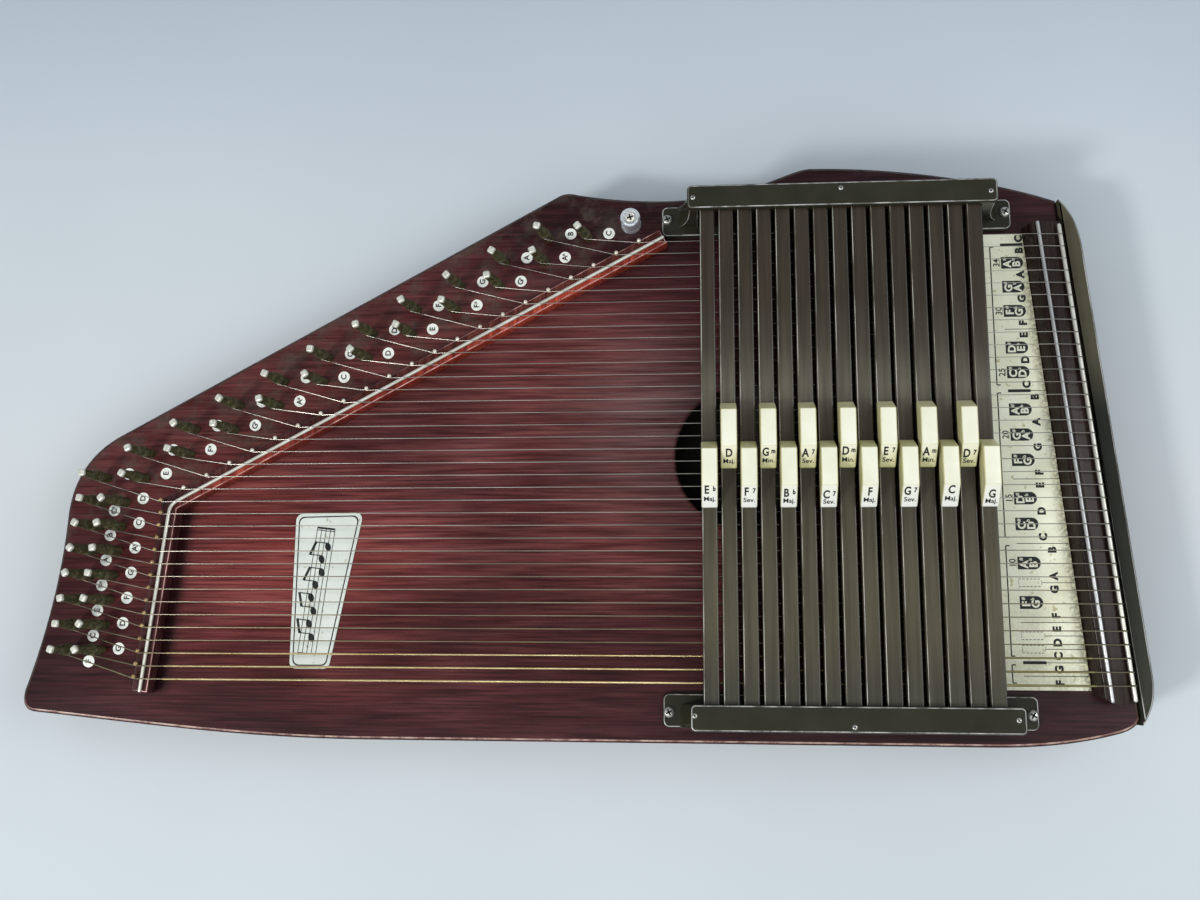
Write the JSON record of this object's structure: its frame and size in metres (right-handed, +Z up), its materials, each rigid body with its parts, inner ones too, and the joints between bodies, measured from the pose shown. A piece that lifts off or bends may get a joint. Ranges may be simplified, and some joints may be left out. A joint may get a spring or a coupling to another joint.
{
  "type": "chorded zither",
  "caption": "Chorded zither lying on its back: hollow mahogany body with strings over steel rods, tuning pins, and sprung chord bars with ivory buttons held between two black holders.",
  "frame": {"origin": "middle of the bounding box, on the surface that the rubber feet stand on", "axes": "+X along the strings towards the hitch end, +Y towards the treble side, +Z up out of the soundboard"},
  "size_m": [0.5572, 0.2941, 0.0765],
  "materials": {
    "lacquered_mahogany": "glossy dark red-brown lacquer over mahogany",
    "raw_wood": "plain unfinished spruce",
    "black_plastic": "satin olive-black moulded plastic",
    "bar_brown": "dark brown, satin, with worn edges",
    "ivory_plastic": "ivory moulded plastic, slightly yellowed",
    "steel": "plain steel wire, rod and pins, lightly tarnished",
    "chrome_plate": "bright chrome plate",
    "printed_paper": "aged cream card printed in black",
    "foot_rubber": "matt black rubber"
  },
  "bodies": {
    "case": {"soundboard": "lacquered_mahogany", "back_plate": "lacquered_mahogany", "pin_block": "lacquered_mahogany", "anchor_block": "lacquered_mahogany", "treble_rail": "lacquered_mahogany", "bass_rail": "lacquered_mahogany", "left_brace": "raw_wood", "right_brace": "raw_wood", "tuning_bridge": "lacquered_mahogany", "tuning_bridge_rod": "steel", "anchor_bridge": "lacquered_mahogany", "anchor_bridge_rod": "steel", "strings_and_tuning_pins": "steel", "end_cover": "black_plastic", "treble_holder": "black_plastic", "bass_holder": "black_plastic", "treble_holder_cover": "black_plastic", "bass_holder_cover": "black_plastic", "string_chart": "printed_paper", "name_label": "printed_paper", "strap_button": "chrome_plate", "strap_button_screw": "steel", "treble_holder_left_screw": "steel", "treble_holder_right_screw": "steel", "bass_holder_left_screw": "steel", "bass_holder_right_screw": "steel", "left_front_foot": "foot_rubber", "left_rear_foot": "foot_rubber", "right_front_foot": "foot_rubber", "right_rear_foot": "foot_rubber"},
    "bar_01": {"chord_bar_01": "bar_brown", "chord_button_01": "ivory_plastic"},
    "bar_02": {"chord_bar_02": "bar_brown", "chord_button_02": "ivory_plastic"},
    "bar_03": {"chord_bar_03": "bar_brown", "chord_button_03": "ivory_plastic"},
    "bar_04": {"chord_bar_04": "bar_brown", "chord_button_04": "ivory_plastic"},
    "bar_05": {"chord_bar_05": "bar_brown", "chord_button_05": "ivory_plastic"},
    "bar_06": {"chord_bar_06": "bar_brown", "chord_button_06": "ivory_plastic"},
    "bar_07": {"chord_bar_07": "bar_brown", "chord_button_07": "ivory_plastic"},
    "bar_08": {"chord_bar_08": "bar_brown", "chord_button_08": "ivory_plastic"},
    "bar_09": {"chord_bar_09": "bar_brown", "chord_button_09": "ivory_plastic"},
    "bar_10": {"chord_bar_10": "bar_brown", "chord_button_10": "ivory_plastic"},
    "bar_11": {"chord_bar_11": "bar_brown", "chord_button_11": "ivory_plastic"},
    "bar_12": {"chord_bar_12": "bar_brown", "chord_button_12": "ivory_plastic"},
    "bar_13": {"chord_bar_13": "bar_brown", "chord_button_13": "ivory_plastic"},
    "bar_14": {"chord_bar_14": "bar_brown", "chord_button_14": "ivory_plastic"},
    "bar_15": {"chord_bar_15": "bar_brown", "chord_button_15": "ivory_plastic"}
  },
  "joints": [
    {"name": "bar_01_press", "type": "slide", "parent": "case", "child": "bar_01", "axis": [0, 0, -1], "range_m": [0, 0.0034], "stiffness_N_per_m": 300, "springref_m": -0.0033},
    {"name": "bar_02_press", "type": "slide", "parent": "case", "child": "bar_02", "axis": [0, 0, -1], "range_m": [0, 0.0034], "stiffness_N_per_m": 300, "springref_m": -0.0033},
    {"name": "bar_03_press", "type": "slide", "parent": "case", "child": "bar_03", "axis": [0, 0, -1], "range_m": [0, 0.0034], "stiffness_N_per_m": 300, "springref_m": -0.0033},
    {"name": "bar_04_press", "type": "slide", "parent": "case", "child": "bar_04", "axis": [0, 0, -1], "range_m": [0, 0.0034], "stiffness_N_per_m": 300, "springref_m": -0.0033},
    {"name": "bar_05_press", "type": "slide", "parent": "case", "child": "bar_05", "axis": [0, 0, -1], "range_m": [0, 0.0034], "stiffness_N_per_m": 300, "springref_m": -0.0033},
    {"name": "bar_06_press", "type": "slide", "parent": "case", "child": "bar_06", "axis": [0, 0, -1], "range_m": [0, 0.0034], "stiffness_N_per_m": 300, "springref_m": -0.0033},
    {"name": "bar_07_press", "type": "slide", "parent": "case", "child": "bar_07", "axis": [0, 0, -1], "range_m": [0, 0.0034], "stiffness_N_per_m": 300, "springref_m": -0.0033},
    {"name": "bar_08_press", "type": "slide", "parent": "case", "child": "bar_08", "axis": [0, 0, -1], "range_m": [0, 0.0034], "stiffness_N_per_m": 300, "springref_m": -0.0033},
    {"name": "bar_09_press", "type": "slide", "parent": "case", "child": "bar_09", "axis": [0, 0, -1], "range_m": [0, 0.0034], "stiffness_N_per_m": 300, "springref_m": -0.0033},
    {"name": "bar_10_press", "type": "slide", "parent": "case", "child": "bar_10", "axis": [0, 0, -1], "range_m": [0, 0.0034], "stiffness_N_per_m": 300, "springref_m": -0.0033},
    {"name": "bar_11_press", "type": "slide", "parent": "case", "child": "bar_11", "axis": [0, 0, -1], "range_m": [0, 0.0034], "stiffness_N_per_m": 300, "springref_m": -0.0033},
    {"name": "bar_12_press", "type": "slide", "parent": "case", "child": "bar_12", "axis": [0, 0, -1], "range_m": [0, 0.0034], "stiffness_N_per_m": 300, "springref_m": -0.0033},
    {"name": "bar_13_press", "type": "slide", "parent": "case", "child": "bar_13", "axis": [0, 0, -1], "range_m": [0, 0.0034], "stiffness_N_per_m": 300, "springref_m": -0.0033},
    {"name": "bar_14_press", "type": "slide", "parent": "case", "child": "bar_14", "axis": [0, 0, -1], "range_m": [0, 0.0034], "stiffness_N_per_m": 300, "springref_m": -0.0033},
    {"name": "bar_15_press", "type": "slide", "parent": "case", "child": "bar_15", "axis": [0, 0, -1], "range_m": [0, 0.0034], "stiffness_N_per_m": 300, "springref_m": -0.0033}
  ]
}
